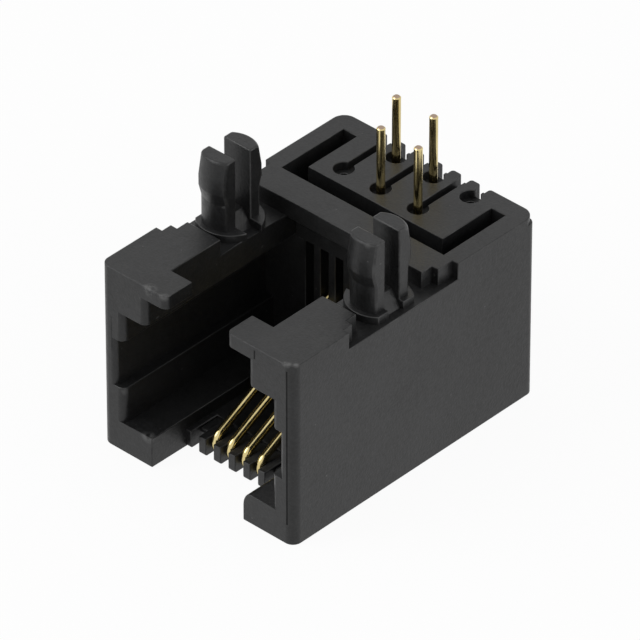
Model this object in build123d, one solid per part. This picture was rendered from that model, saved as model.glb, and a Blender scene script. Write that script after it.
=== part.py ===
from build123d import *
from math import atan2, degrees, radians, tan
import os

# Right-angle modular jack for a circuit board: one moulded housing and four spring wires.
# It lies on its flat cover face, as photographed, with the board side up.
# X runs across the opening, Y runs from the front opening (minus) to the back, Z is up.
# Sizes are millimetres. Places along the jack are measured back from the front face,
# and everything is moved at the end so that the origin is under the middle of the jack.

# Housing block
height = 11.1
side_wall = 0.975
front_corner_radius = 0.55
rear_corner_radius = 0.45
board_corner_radius = 0.75
board_corner_height = 0.45

# Plug way, seen from the front: feet, lower rails, reliefs, upper guides, latch channel
bay_depth = 11.0
foot_gap = 6.3
foot_height = 1.77
foot_ease_width = 0.5
foot_ease_height = 0.85
rail_gap = 10.15
relief_reach = 0.55
relief_bottom = 3.88
relief_height = 2.9
guide_height = 1.8
latch_gap = 6.96
ledge_gap = 4.1
ledge_thickness = 0.82
ledge_depth = 1.9
bar_thickness = 1.08
mouth_edge_radius = 0.4
relief_edge_radius = 0.3

# Spring wires and the combs that hold them apart
positions = 6
wired_positions = (2, 3, 4, 5)
wire_diameter = 0.46
wire_clearance = 0.04
comb_pitch = 1.02
tight_bend = 0.35
foot_mitre = 0.16
spring_bend = 0.6
spring_angle = 27
spring_reach = 0.6
pin_reach = 3.75
pin_end_bevel = 0.07

# Front comb and the lip that the wires bend round
comb_setback = 2.5
comb_height = 1.05
comb_nose_radius = 0.15
wire_setback = 0.24
groove_depth = 0.6
lip_thickness = 0.3
lip_nose_radius = 0.14
trough_length = 1.2
fan_start = 5.0

# Rear comb in the back wall of the plug way
rear_slot_depth = 0.8
rear_slot_top = 8.45

# Terminals on the board side
terminal_pitch = 1.27
row_pitch = 2.54
front_row_margin = 1.12
rear_row_margin = 1.14
well_diameter = 1.12
well_depth = 0.5
tail_width = 0.42
rear_groove_width = 0.6
rear_groove_depth = 0.42
rear_rib_radius = 0.18

# Cored slot round the terminal block
bay_wall = 1.15
core_side_wall = 1.05
core_rear_wall = 1.15
core_slot_width = 0.95
core_floor = 2.0

# Board pegs, the discs they stand on and the stepped recess around them
peg_spacing = 10.16
peg_to_front_row = 6.35
recess_depth = 1.0
recess_steps = ((0.83, 2.4), (0.4, 3.16))
recess_front_reach = 3.8
recess_rear_reach = 4.2
disc_diameter = 3.55
disc_height = 0.45
disc_setback = 0.32
peg_reach = 3.65
stem_radius = 1.49
stem_height = 2.05
bulge_radius = 1.655
bulge_bottom = 2.75
bulge_top = 3.35
peg_tip_radius = 1.47
peg_flat_reach = 0.92
peg_slot_width = 1.04
peg_slot_shift = 0.02
peg_top_bevel = 0.1
gusset_base = 1.96
gusset_top = 0.8
gusset_height = 0.95

# How far an edge may lie from the place where it is looked for
nearby = 0.01

# Sizes, heights and places that follow from the values above
relief_gap = rail_gap + 2 * relief_reach
width = relief_gap + 2 * side_wall
core_slot_front = bay_depth + bay_wall
core_block_front = core_slot_front + core_slot_width
front_row_depth = core_block_front + front_row_margin
depth = front_row_depth + row_pitch + rear_row_margin
core_slot_reach = width / 2 - core_side_wall
relief_top = relief_bottom + relief_height
guide_top = relief_top + guide_height
ledge_bottom = height - ledge_thickness
bar_bottom = height - bar_thickness
recess_floor = height - recess_depth
peg_depth = front_row_depth - peg_to_front_row
bar_front = peg_depth + recess_steps[0][1]
wire_radius = wire_diameter / 2
comb_gap = wire_diameter + 2 * wire_clearance
run_height = groove_depth - wire_clearance / 2 - wire_radius
rise_depth = comb_setback + wire_setback + wire_radius
lip_front = rise_depth + wire_radius + wire_clearance
lip_top = groove_depth + lip_thickness
spring_corner = lip_top + wire_radius - wire_clearance


def block(x0, x1, y0, y1, z0, z1):
    """A box between two corners."""
    corner = Pos(x0, y0, z0)
    return corner * Box(x1 - x0, y1 - y0, z1 - z0, align=(Align.MIN, Align.MIN, Align.MIN))


def both_sides(piece):
    """A piece and its mirror image on the other side of the jack."""
    return piece + mirror(piece, about=Plane.YZ)


def front_profile(half_points, length):
    """A solid run back from the front face, from the right half of its outline."""
    left_half = [(-x, z) for x, z in reversed(half_points)]
    outline = make_face(Polyline(*half_points, *left_half, close=True))
    return extrude(Plane.XZ * outline, amount=-length)


def comb_place(position):
    """Place across the jack of one contact in the combs."""
    return (position - (positions + 1) / 2) * comb_pitch


def terminal_place(position):
    """Place of one terminal on the board side; odd ones stand in the front row."""
    across = (position - (positions + 1) / 2) * terminal_pitch
    back = front_row_depth if position % 2 == 1 else front_row_depth + row_pitch
    return across, back


def outer_layer(bottom, top, rear_radius):
    """One layer of the moulded block, with its rounded upright corners."""
    body = block(-width / 2, width / 2, 0, depth, bottom, top)
    corners = body.edges().filter_by(Axis.Z).group_by(Axis.Y)
    body = fillet(corners[0], front_corner_radius)
    corners = body.edges().filter_by(Axis.Z).group_by(Axis.Y)
    return fillet(corners[-1], rear_radius)


def outer_block():
    """The moulded block; its rear corners are rounder beside the board."""
    step = height - board_corner_height
    return outer_layer(0, step, rear_corner_radius) + outer_layer(step, height, board_corner_radius)


def plug_way():
    """The space for the plug, with its rails, reliefs, guides and latch channel."""
    half = [
        (foot_gap / 2, comb_height),
        (foot_gap / 2, foot_height),
        (rail_gap / 2, foot_height),
        (rail_gap / 2, relief_bottom),
        (relief_gap / 2, relief_bottom),
        (relief_gap / 2, relief_top),
        (rail_gap / 2, relief_top),
        (rail_gap / 2, guide_top),
        (latch_gap / 2, guide_top),
        (latch_gap / 2, bar_bottom),
    ]
    way = front_profile(half, bay_depth)
    way += block(-latch_gap / 2, latch_gap / 2, 0, bar_front, guide_top, ledge_bottom)
    way += block(-latch_gap / 2, latch_gap / 2, ledge_depth, bar_front, guide_top, height)
    way += block(-ledge_gap / 2, ledge_gap / 2, 0, ledge_depth, ledge_bottom, height)
    way += block(-foot_gap / 2, foot_gap / 2, 0, comb_setback, 0, comb_height)
    return way


def mouth_edges(housing, gaps):
    """Upright edges of the opening on the front face, where it is as wide as one of the gaps."""
    upright = housing.edges().filter_by(Axis.Z).filter_by_position(Axis.Y, -nearby, nearby)
    return [
        edge
        for edge in upright
        if any(abs(abs(edge.center().X) - gap / 2) < nearby for gap in gaps)
    ]


def comb_nose_edge(housing):
    """The front edge of the cover between the feet, where the comb's teeth end."""
    across = housing.edges().filter_by(Axis.X).filter_by_position(Axis.Z, -nearby, nearby)
    return across.filter_by_position(Axis.Y, comb_setback - nearby, comb_setback + nearby)


def foot_ease():
    """The eased inner top corner of the right foot, in front of the comb."""
    corner = Plane.XZ * Pos(foot_gap / 2, foot_height - foot_ease_height)
    square = Rectangle(foot_ease_width, foot_ease_height, align=(Align.MIN, Align.MIN))
    oval = Pos(foot_ease_width, 0) * Ellipse(foot_ease_width, foot_ease_height)
    return extrude(corner * (square - oval), amount=-comb_setback)


def front_comb_cut():
    """Slots between the comb's teeth, each with a rounded lip left for its wire."""
    slot = block(-comb_gap / 2, comb_gap / 2, 0, lip_front + trough_length, 0, comb_height)
    lip = block(-comb_gap, comb_gap, lip_front, depth, groove_depth, lip_top)
    nose = lip.edges().filter_by(Axis.X).group_by(Axis.Y)[0]
    lip = fillet(nose, lip_nose_radius)
    below = block(-comb_gap, comb_gap, lip_front + tight_bend, depth, 0, groove_depth)
    slot = slot - lip - below
    cuts = Part()
    for position in range(1, positions + 1):
        cuts += Pos(comb_place(position), 0, 0) * slot
    return cuts


def cover_groove(position):
    """The groove in the cover face that takes one wire back to its terminal."""
    comb_x = comb_place(position)
    terminal_x, terminal_y = terminal_place(position)
    line = [(comb_x, lip_front), (comb_x, fan_start), (terminal_x, bay_depth), (terminal_x, terminal_y)]
    right = [(x + comb_gap / 2, y) for x, y in line]
    left = [(x - comb_gap / 2, y) for x, y in reversed(line)]
    groove = extrude(make_face(Polyline(*right, *left, close=True)), amount=groove_depth)
    end = Pos(terminal_x, terminal_y, 0) * Cylinder(
        comb_gap / 2, groove_depth, align=(Align.CENTER, Align.CENTER, Align.MIN)
    )
    return groove + end


def rear_comb_cut():
    """Slots in the back wall of the plug way that guide the wires' free ends."""
    slot = block(
        -comb_gap / 2, comb_gap / 2, bay_depth, bay_depth + rear_slot_depth, foot_height, rear_slot_top
    )
    cuts = Part()
    for position in range(1, positions + 1):
        cuts += Pos(comb_place(position), 0, 0) * slot
    return cuts


def core_slot():
    """The deep U-shaped slot that cores the thick rear block."""
    outer = core_slot_reach
    pocket = block(-outer, outer, core_slot_front, depth - core_rear_wall, core_floor, height)
    inner = core_slot_reach - core_slot_width
    core = block(-inner, inner, core_block_front, depth, core_floor, height)
    return pocket - core


def terminal_cut(position):
    """A wire hole, its well on the board side, and the shallow tail to the back edge."""
    x, y = terminal_place(position)
    low = (Align.CENTER, Align.CENTER, Align.MIN)
    hole = Cylinder(wire_radius + wire_clearance, height - groove_depth, align=low)
    well = Pos(0, 0, height - groove_depth - well_depth) * Cylinder(well_diameter / 2, well_depth, align=low)
    tail = block(-tail_width / 2, tail_width / 2, y, depth, height - well_depth, height)
    return Pos(x, y, groove_depth) * (hole + well) + Pos(x, 0, 0) * tail


def rear_groove_cut():
    """Upright grooves down the back face, behind the terminals."""
    groove = block(
        -rear_groove_width / 2, rear_groove_width / 2, depth - rear_groove_depth, depth, 0, height
    )
    cuts = Part()
    for position in range(1, positions + 1):
        cuts += Pos(terminal_place(position)[0], 0, 0) * groove
    return cuts


def rear_rib_edges(housing):
    """Upright outer edges of the ribs between the grooves in the back face."""
    upright = housing.edges().filter_by(Axis.Z).filter_by_position(Axis.Y, depth - nearby, depth + nearby)
    reach = terminal_place(positions)[0] + rear_groove_width
    return [edge for edge in upright if abs(edge.center().X) < reach]


def stepped_line(last_reach):
    """Corners of the recess from its first step out to the side face, on one side of the peg."""
    side = width / 2
    steps = [*recess_steps, (0, last_reach)]
    corners = []
    for (inset, reach), (_, next_reach) in zip(steps, steps[1:]):
        corners += [(side - inset, reach), (side - inset, next_reach)]
    return [*corners, (side, last_reach)]


def recess_cut():
    """The stepped recess round the right peg, one step down from the board face."""
    inner = latch_gap / 2
    first = recess_steps[0][1]
    rear = stepped_line(recess_rear_reach)
    front = [(x, -y) for x, y in reversed(stepped_line(recess_front_reach))]
    outline = [(inner, first), *rear, *front, (inner, -first)]
    face = make_face(Polyline(*outline, close=True))
    return Pos(0, peg_depth, recess_floor) * extrude(face, amount=recess_depth)


def right_peg():
    """A split board peg on its disc, with the gusset that ties its two halves.

    The cutting blocks reach one disc width from the peg's middle, well clear of it.
    """
    top = recess_depth + peg_reach
    base = disc_height
    profile = [
        (0, 0),
        (disc_diameter / 2, 0),
        (disc_diameter / 2, base),
        (stem_radius, base),
        (stem_radius, stem_height),
        (bulge_radius, bulge_bottom),
        (bulge_radius, bulge_top),
        (peg_tip_radius, top - peg_top_bevel),
        (peg_tip_radius - peg_top_bevel, top),
        (0, top),
    ]
    outline = make_face(Polyline(*profile, close=True))
    peg = revolve(Plane.XZ * outline, Axis.Z)
    clear = disc_diameter
    slot_back = peg_slot_width / 2 - peg_slot_shift
    peg -= block(-clear, clear, slot_back - peg_slot_width, slot_back, 0, top)
    peg -= block(peg_flat_reach, clear, -clear, clear, base, top)
    peg -= block(-clear, -peg_flat_reach, -clear, clear, base, top)
    trim = width / 2 - disc_setback - peg_spacing / 2
    peg -= block(trim, clear, -clear, clear, 0, base)
    gusset_outline = Trapezoid(
        gusset_base,
        gusset_height,
        gusset_angle(),
        align=(Align.CENTER, Align.MIN),
    )
    gusset = extrude(Plane.XZ.offset(-slot_back) * gusset_outline, amount=peg_slot_width)
    return Pos(peg_spacing / 2, peg_depth, recess_floor) * (peg + gusset)


def gusset_angle():
    """Angle at the gusset's foot, from its widths and height."""
    return degrees(atan2(gusset_height, (gusset_base - gusset_top) / 2))


def housing():
    """The one-piece moulded housing."""
    body = outer_block() - plug_way()
    body = fillet(mouth_edges(body, (rail_gap, latch_gap, ledge_gap)), mouth_edge_radius)
    body = fillet(mouth_edges(body, (relief_gap,)), relief_edge_radius)
    body = fillet(comb_nose_edge(body), comb_nose_radius)
    body -= foot_ease()
    body -= front_comb_cut()
    body -= rear_comb_cut()
    body -= core_slot()
    for position in range(1, positions + 1):
        body -= cover_groove(position)
        body -= terminal_cut(position)
    body -= rear_groove_cut()
    body = fillet(rear_rib_edges(body), rear_rib_radius)
    body -= both_sides(recess_cut())
    return body + both_sides(right_peg())


def contact(position):
    """One spring wire: pin, run along the cover, turn round the lip, spring and tip."""
    comb_x = comb_place(position)
    terminal_x, terminal_y = terminal_place(position)
    tip_y = bay_depth + spring_reach
    tip_z = spring_corner + (tip_y - rise_depth) * tan(radians(spring_angle))
    fan_front = (comb_x, fan_start, run_height)
    pin_and_run = Polyline(
        (terminal_x, terminal_y, height + pin_reach),
        (terminal_x, terminal_y, height),
        (terminal_x, terminal_y, run_height + foot_mitre),
        (terminal_x, terminal_y - foot_mitre, run_height),
        (terminal_x, bay_depth, run_height),
        fan_front,
    )
    spring = FilletPolyline(
        fan_front,
        (comb_x, rise_depth, run_height),
        (comb_x, rise_depth, spring_corner),
        (comb_x, tip_y, tip_z),
        radius=[tight_bend, spring_bend],
    )
    path = Wire([*pin_and_run.edges(), *spring.edges()])
    section = Plane(origin=path @ 0, z_dir=path % 0) * Circle(wire_radius)
    wire = sweep(section, path=path, transition=Transition.RIGHT, clean=False)
    pin_end = wire.faces().filter_by(GeomType.PLANE).sort_by(Axis.Z)[-1]
    return chamfer(pin_end.edges(), pin_end_bevel)


os.makedirs("parts", exist_ok=True)
to_middle = Pos(0, -depth / 2, 0)
export_step(to_middle * housing(), "parts/housing.step")
for number, position in enumerate(wired_positions, start=1):
    export_step(to_middle * contact(position), f"parts/contact_{number}.step")
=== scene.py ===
import math

import bmesh
import bpy
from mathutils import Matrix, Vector


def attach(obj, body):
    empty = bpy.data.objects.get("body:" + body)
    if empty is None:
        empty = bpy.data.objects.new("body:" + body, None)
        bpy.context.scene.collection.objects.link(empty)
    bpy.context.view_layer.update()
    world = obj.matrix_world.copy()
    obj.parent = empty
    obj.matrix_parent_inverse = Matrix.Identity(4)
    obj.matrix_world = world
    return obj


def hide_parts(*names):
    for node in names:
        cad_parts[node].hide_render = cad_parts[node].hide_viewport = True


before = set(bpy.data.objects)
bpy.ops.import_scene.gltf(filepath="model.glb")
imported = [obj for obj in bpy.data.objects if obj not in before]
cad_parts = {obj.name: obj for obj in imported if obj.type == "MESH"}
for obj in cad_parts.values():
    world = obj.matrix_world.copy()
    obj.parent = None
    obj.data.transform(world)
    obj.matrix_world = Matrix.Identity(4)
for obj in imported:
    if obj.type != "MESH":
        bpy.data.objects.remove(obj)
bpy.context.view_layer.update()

MM = 0.001
BLACK = (0, 0, 0, 1)
WHITE = (1, 1, 1, 1)
scene = bpy.context.scene
scene.view_settings.view_transform = "Standard"

# The camera looks down into the opening from its right, as in the photo
CAMERA_AZIMUTH = 42.91
CAMERA_ELEVATION = 36.25
CAMERA_DISTANCE = 480 * MM
CAMERA_TARGET = Vector((0.127, -0.05, 6.08)) * MM
CAMERA_LENS = 535.9
CAMERA_RANGE = (0.01, 10)
SENSOR_WIDTH = 36.0

# Noise patterns: waves per metre, detail and roughness
FLOW = (260, 2.0, 0.5)
GRAIN = (7000, 2.0, 0.6)
SPECK = (3200, 1.0, 0.4)
RUBBING_AND_HIGHLIGHT = (1100, 3.0, 0.6)
DUST = (3600, 0.0, 0.5)
SCUFFING = (2400, 3.0, 0.7)
SWAY = (900, 2.0, 0.6)
GOLD_DRIFT = (700, 2.0, 0.5)
GOLD_FINE = (2600, 2.0, 0.5)
NOISE_SPAN = (0.3, 0.7)

# Bumps: depth and strength
FLOW_BUMP = (0.012 * MM, 0.2)
GRAIN_BUMP = (0.02 * MM, 0.5)
LINE_BUMP = (0.05 * MM, 1.0)
GOLD_BUMP = (0.001 * MM, 0.1)

# Moulded plastic: its tone drifts between a darker and a paler share of its colour
PLASTIC_COLOR = (0.0105, 0.0107, 0.0110)
PLASTIC_DARKER = 0.6
PLASTIC_PALER = 1.4
PLASTIC_SPECULAR = 0.36
PLASTIC_ROUGHNESS = (0.34, 0.43)
FLOW_SHARE = 0.4
GRAIN_SHARE = 0.6
TONE_SPAN = (0.38, 0.62)

# Wear and painted highlight: the pale colour that wear bares, how much of it the faces show as
# wear and the soft edges as wear and painted highlight, and specks of dust
WORN_AND_HIGHLIGHT_COLOR = (0.085, 0.085, 0.085, 1)
FACE_WEAR = 0.03
# On the soft edges this paler share is partly wear and partly a painted highlight along every
# outward edge
EDGE_WEAR_AND_HIGHLIGHT = 0.4
LEAST_WEAR_AND_HIGHLIGHT = 0.15
RUBBING_AND_HIGHLIGHT_SPAN = (0.50, 0.68)
DUST_SPAN = (0.85, 0.89)
DUST_STRENGTH = 0.6

# Pale scuffs at corners and edges that get knocked: their middles and radii in millimetres
SCUFFS = (
    ((5.98, -8.88, 11.08), 0.20),
    ((6.16, -8.82, 11.08), 0.20),
    ((6.46, -8.60, 11.08), 0.18),
    ((-3.25, -8.93, 11.05), 0.50),
    ((-2.25, -8.90, 11.05), 0.32),
    ((-5.00, -8.93, 3.66), 0.34),
    ((-3.50, -8.93, 1.82), 0.50),
    ((6.05, 0.05, 14.72), 0.30),
    ((5.63, -2.64, 14.72), 0.32),
)
SCUFF_CORE = 0.4
SCUFF_SPAN = (0.38, 0.54)
SCUFF_STRENGTH = 0.9

# Thin lines that the mould leaves on the front: where across, the middle of their height,
# half their length, and how dark they are
PARTING_LINES = (
    (6.15 * MM, 5.95 * MM, 4.75 * MM, 1.0),
    (3.98 * MM, 10.66 * MM, 0.27 * MM, 1.0),
    (-5.86 * MM, 7.05 * MM, 1.05 * MM, 0.4),
)
LINE_HALF_WIDTH = 0.05 * MM
LINE_WANDER = 0.05 * MM
LINE_ROUGHNESS = 0.5
FRONT_FACE = -8.93 * MM

# Edges of the housing, softened where they turn outward, and more so on the pegs, which stand
# on their discs and alone rise above the board face
CREASE_ANGLE = 11
EDGE_WIDTH = 0.04 * MM
EDGE_ANGLE = 32
EDGE_SEGMENTS = 2
PEG_EDGE_WIDTH = 0.09 * MM
PEG_EDGE_ANGLE = 55
PEG_FOOT = 10.5 * MM
ABOVE_BOARD_FACE = 11.15 * MM

# Gold plated wire and the bare metal of its cut end
GOLD_COLOR = (0.72, 0.60, 0.30, 1)
GOLD_DARK = (0.58, 0.47, 0.21, 1)
GOLD_ROUGHNESS = (0.14, 0.21)
CUT_COLOR = (0.36, 0.27, 0.20, 1)
CUT_HEIGHT = 14.83 * MM
CUT_ROUGHNESS = 0.25
WIRE_CREASE_ANGLE = 42

# Triangles of one flat face are joined again, and corners closer than this are one corner
FLAT_ANGLE = 0.5
WELD_DISTANCE = 1e-7

# Studio
WORLD_STRENGTH = 0.5
FLOOR_SIZE = 2.0
FLOOR_DROP = 0.01 * MM
FLOOR_COLOR = (0.9, 0.9, 0.9, 1)
FLOOR_WHITE = 0.94
LAMP_TARGET = Vector((0, 0, 6 * MM))
# Name, azimuth, elevation, distance, size and power
LAMPS = (
    ("key", -38, 40, 0.45, 0.30, 0.7),
    ("side", 100, 20, 0.45, 0.30, 0.5),
    ("back", 180, 70, 0.50, 0.30, 0.15),
)


class Tree:
    """The shader tree of a material or the world, emptied, with short ways to fill it."""

    def __init__(self, owner):
        owner.use_nodes = True
        self.nodes = owner.node_tree.nodes
        self.links = owner.node_tree.links
        self.nodes.clear()

    def node(self, kind, inputs, **settings):
        """A new node. Each input is a plain value or another node's output."""
        node = self.nodes.new(kind)
        for name, value in settings.items():
            setattr(node, name, value)
        for key, value in inputs.items():
            if isinstance(value, bpy.types.NodeSocket):
                self.links.new(value, node.inputs[key])
            else:
                node.inputs[key].default_value = value
        return node

    def noise(self, place, pattern):
        scale, detail, roughness = pattern
        inputs = {"Vector": place, "Scale": scale, "Detail": detail, "Roughness": roughness}
        return self.node("ShaderNodeTexNoise", inputs).outputs["Fac"]

    def remap(self, value, span, low, high):
        """A value's span stretched to run from low to high, and held there past its ends."""
        inputs = {
            "Value": value, "From Min": span[0], "From Max": span[1], "To Min": low, "To Max": high
        }
        return self.node("ShaderNodeMapRange", inputs).outputs["Result"]

    def arithmetic(self, operation, *values):
        inputs = dict(enumerate(values))
        return self.node("ShaderNodeMath", inputs, operation=operation).outputs[0]

    def split(self, place):
        return self.node("ShaderNodeSeparateXYZ", {0: place}).outputs

    def mix_color(self, factor, a, b):
        inputs = {0: factor, 6: a, 7: b}
        return self.node("ShaderNodeMix", inputs, data_type="RGBA").outputs[2]

    def mix_shader(self, factor, a, b):
        return self.node("ShaderNodeMixShader", {0: factor, 1: a, 2: b}).outputs[0]

    def bump(self, height, shape, below=None):
        """A surface raised by a height, over another bump where one is given."""
        inputs = {"Height": height, "Distance": shape[0], "Strength": shape[1]}
        if below is not None:
            inputs["Normal"] = below
        return self.node("ShaderNodeBump", inputs).outputs["Normal"]

    def seen_rays(self):
        """One for what the camera sees, by itself, in a reflection or through a clear piece."""
        rays = self.node("ShaderNodeLightPath", {}).outputs
        mirrored = self.arithmetic("MAXIMUM", rays["Is Glossy Ray"], rays["Is Transmission Ray"])
        return self.arithmetic("MAXIMUM", rays["Is Camera Ray"], mirrored)


def new_material(name):
    """A new material, its tree, and the place in the part's own frame that it shades."""
    material = bpy.data.materials.new(name)
    tree = Tree(material)
    place = tree.node("ShaderNodeTexCoord", {}).outputs["Object"]
    return material, tree, place


def parting_lines(tree, place):
    """How dark a thin line of the mould is at a place, and nought away from them."""
    parts = tree.split(place)
    across = tree.arithmetic("MULTIPLY_ADD", tree.noise(place, SWAY), LINE_WANDER, parts["X"])
    lines = 0.0
    for middle_across, middle_up, half_length, darkness in PARTING_LINES:
        swayed = middle_across + LINE_WANDER / 2
        near = tree.arithmetic("COMPARE", across, swayed, LINE_HALF_WIDTH)
        along = tree.arithmetic("COMPARE", parts["Z"], middle_up, half_length)
        along = tree.arithmetic("MULTIPLY", along, darkness)
        lines = tree.arithmetic("MULTIPLY_ADD", near, along, lines)
    front = tree.arithmetic("LESS_THAN", parts["Y"], FRONT_FACE)
    return tree.arithmetic("MULTIPLY", lines, front)


def scuffs(tree, place):
    """How much of a pale patchy scuff lies at a place."""
    most = 0.0
    for middle, radius in SCUFFS:
        inputs = {0: place, 1: Vector(middle) * MM}
        away = tree.node("ShaderNodeVectorMath", inputs, operation="DISTANCE").outputs["Value"]
        near = tree.remap(away, (SCUFF_CORE * radius * MM, radius * MM), 1.0, 0.0)
        most = tree.arithmetic("MAXIMUM", near, most)
    patches = tree.remap(tree.noise(place, SCUFFING), SCUFF_SPAN, 0.0, SCUFF_STRENGTH)
    return tree.arithmetic("MULTIPLY", most, patches)


def plastic_material(name, wear_and_highlight):
    """Black moulded plastic: a fine even grain and soft flow marks, rubbed paler in places; on the
    soft edges that paleness is also a painted highlight.
    """
    material, tree, place = new_material(name)
    flow = tree.noise(place, FLOW)
    grain = tree.noise(place, GRAIN)

    tone = tree.arithmetic("MULTIPLY", grain, GRAIN_SHARE)
    tone = tree.arithmetic("MULTIPLY_ADD", flow, FLOW_SHARE, tone)
    tone = tree.remap(tone, TONE_SPAN, 0.0, 1.0)
    darker = tuple(c * PLASTIC_DARKER for c in PLASTIC_COLOR) + (1,)
    paler = tuple(c * PLASTIC_PALER for c in PLASTIC_COLOR) + (1,)
    color = tree.mix_color(tone, darker, paler)
    # Paler in patches: wear on the faces; on the soft edges the same paling is also a painted
    # highlight
    rubbed_and_highlit = tree.remap(tree.noise(place, RUBBING_AND_HIGHLIGHT), RUBBING_AND_HIGHLIGHT_SPAN, LEAST_WEAR_AND_HIGHLIGHT * wear_and_highlight, wear_and_highlight)
    dust = tree.remap(tree.noise(place, DUST), DUST_SPAN, 0.0, DUST_STRENGTH)
    for worn_and_lit in (rubbed_and_highlit, dust, scuffs(tree, place)):
        color = tree.mix_color(worn_and_lit, color, WORN_AND_HIGHLIGHT_COLOR)
    line = parting_lines(tree, place)
    color = tree.mix_color(line, color, BLACK)

    rough = tree.remap(tree.noise(place, SPECK), NOISE_SPAN, *PLASTIC_ROUGHNESS)
    rough = tree.arithmetic("MULTIPLY_ADD", line, LINE_ROUGHNESS, rough)

    surface = tree.bump(flow, FLOW_BUMP)
    surface = tree.bump(grain, GRAIN_BUMP, surface)
    surface = tree.bump(tree.arithmetic("SUBTRACT", 1.0, line), LINE_BUMP, surface)

    inputs = {
        "Base Color": color,
        "Roughness": rough,
        "Specular IOR Level": PLASTIC_SPECULAR,
        "Normal": surface,
    }
    shader = tree.node("ShaderNodeBsdfPrincipled", inputs)
    tree.node("ShaderNodeOutputMaterial", {"Surface": shader.outputs["BSDF"]})
    return material


def gold_material():
    """Thin gold plate on wire: colour drift, a faint unevenness, and bare metal at the cut."""
    material, tree, place = new_material("contact_gold")
    drift = tree.remap(tree.noise(place, GOLD_DRIFT), NOISE_SPAN, 0.0, 1.0)
    fine = tree.noise(place, GOLD_FINE)
    cut = tree.arithmetic("GREATER_THAN", tree.split(place)["Z"], CUT_HEIGHT)
    color = tree.mix_color(drift, GOLD_DARK, GOLD_COLOR)
    color = tree.mix_color(cut, color, CUT_COLOR)
    rough = tree.remap(fine, NOISE_SPAN, *GOLD_ROUGHNESS)
    rough = tree.arithmetic("MULTIPLY_ADD", cut, CUT_ROUGHNESS, rough)
    inputs = {
        "Base Color": color,
        "Metallic": 1.0,
        "Roughness": rough,
        "Normal": tree.bump(fine, GOLD_BUMP),
    }
    shader = tree.node("ShaderNodeBsdfPrincipled", inputs)
    tree.node("ShaderNodeOutputMaterial", {"Surface": shader.outputs["BSDF"]})
    return material


def edge_softness(edge):
    """The share of the widest soft edge that an edge of the housing gets."""
    turn = edge.calc_face_angle(0)
    if not edge.is_convex or turn <= math.radians(EDGE_ANGLE):
        return 0.0
    low, high = sorted(vert.co.z for vert in edge.verts)
    on_peg = low > PEG_FOOT and high > ABOVE_BOARD_FACE
    if on_peg and turn > math.radians(PEG_EDGE_ANGLE):
        return 1.0
    return EDGE_WIDTH / PEG_EDGE_WIDTH


def smooth_copy(node, material, crease_angle, edge_material=None):
    """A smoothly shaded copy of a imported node, which stands for it in the picture.

    With a material for them, its outward edges are softened too.
    """
    name = node + "_body"
    mesh = bpy.data.meshes.new(name)
    bm = bmesh.new()
    bm.from_mesh(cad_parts[node].data)
    bmesh.ops.remove_doubles(bm, verts=bm.verts, dist=WELD_DISTANCE)
    bmesh.ops.dissolve_limit(
        bm,
        angle_limit=math.radians(FLAT_ANGLE),
        verts=bm.verts,
        edges=bm.edges,
        delimit={"NORMAL"},
    )
    softness = bm.edges.layers.float.new("bevel_weight_edge")
    for edge in bm.edges:
        edge.smooth = edge.calc_face_angle(0) < math.radians(crease_angle)
        if edge_material:
            edge[softness] = edge_softness(edge)
    for face in bm.faces:
        face.smooth = True
    bm.to_mesh(mesh)
    bm.free()
    carried = mesh.attributes.get("custom_normal")
    if carried:
        mesh.attributes.remove(carried)

    piece = bpy.data.objects.new(name, mesh)
    scene.collection.objects.link(piece)
    mesh.materials.clear()
    mesh.materials.append(material)
    if edge_material:
        mesh.materials.append(edge_material)
        soften = piece.modifiers.new("soft_edges", "BEVEL")
        soften.width = PEG_EDGE_WIDTH
        soften.segments = EDGE_SEGMENTS
        soften.limit_method = "WEIGHT"
        soften.use_clamp_overlap = False
        soften.material = 1
        weighted = piece.modifiers.new("face_normals", "WEIGHTED_NORMAL")
        weighted.keep_sharp = True
    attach(piece, "root")
    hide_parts(node)
    return piece


def looking_at(target, name, data, azimuth, elevation, distance):
    """A new camera or lamp that looks at a target from an azimuth, an elevation and a distance."""
    a = math.radians(azimuth)
    e = math.radians(elevation)
    back = Vector((math.sin(a) * math.cos(e), -math.cos(a) * math.cos(e), math.sin(e)))
    item = bpy.data.objects.new(name, data)
    scene.collection.objects.link(item)
    item.location = target + back * distance
    item.rotation_mode = "QUATERNION"
    item.rotation_quaternion = (-back).to_track_quat("-Z", "Y")
    return item


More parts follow.
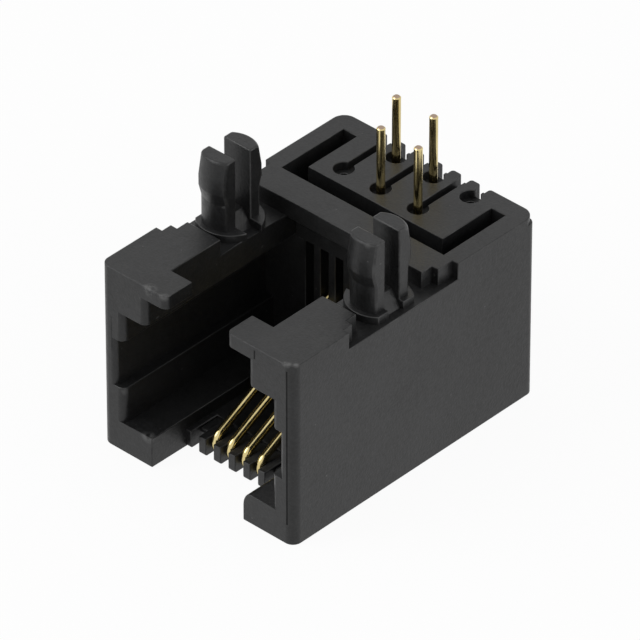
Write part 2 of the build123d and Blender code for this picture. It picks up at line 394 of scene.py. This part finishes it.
def make_camera():
    data = bpy.data.cameras.new("camera")
    data.lens = CAMERA_LENS
    data.sensor_width = SENSOR_WIDTH
    data.clip_start, data.clip_end = CAMERA_RANGE
    scene.camera = looking_at(
        CAMERA_TARGET, "camera", data, CAMERA_AZIMUTH, CAMERA_ELEVATION, CAMERA_DISTANCE
    )


def make_world():
    """Plain soft light, which the camera and reflections see as white."""
    world = bpy.data.worlds.new("studio")
    scene.world = world
    tree = Tree(world)
    lit = tree.node("ShaderNodeBackground", {"Color": WHITE, "Strength": WORLD_STRENGTH})
    seen = tree.node("ShaderNodeBackground", {"Color": WHITE, "Strength": 1.0})
    sky = tree.mix_shader(tree.seen_rays(), lit.outputs[0], seen.outputs[0])
    tree.node("ShaderNodeOutputWorld", {"Surface": sky})


def make_floor():
    """A pale floor that takes the object's shadow and is seen almost white."""
    bpy.ops.mesh.primitive_plane_add(size=FLOOR_SIZE, location=(0, 0, -FLOOR_DROP))
    floor = bpy.context.object
    floor.name = "floor"
    material = bpy.data.materials.new("floor_white")
    tree = Tree(material)
    matt = tree.node("ShaderNodeBsdfDiffuse", {"Color": FLOOR_COLOR})
    white = tree.node("ShaderNodeEmission", {"Color": WHITE, "Strength": 1.0})
    seen = tree.arithmetic("MULTIPLY", tree.seen_rays(), FLOOR_WHITE)
    surface = tree.mix_shader(seen, matt.outputs[0], white.outputs[0])
    tree.node("ShaderNodeOutputMaterial", {"Surface": surface})
    floor.data.materials.append(material)


def make_lamp(name, azimuth, elevation, distance, size, power):
    data = bpy.data.lights.new(name, "AREA")
    data.shape = "DISK"
    data.size = size
    data.energy = power
    looking_at(LAMP_TARGET, name, data, azimuth, elevation, distance)


make_camera()
make_world()
make_floor()
for lamp in LAMPS:
    make_lamp(*lamp)

plastic = plastic_material("housing_plastic", FACE_WEAR)
# A paler copy of the plastic for the soft edges: wear and a painted highlight along every outward
# edge
edge_highlight_plastic = plastic_material("housing_edge_highlight_plastic", EDGE_WEAR_AND_HIGHLIGHT)
gold = gold_material()
body = smooth_copy("housing", plastic, CREASE_ANGLE, edge_highlight_plastic)
for number in (1, 2, 3, 4):
    wire = smooth_copy(f"contact_{number}", gold, WIRE_CREASE_ANGLE)
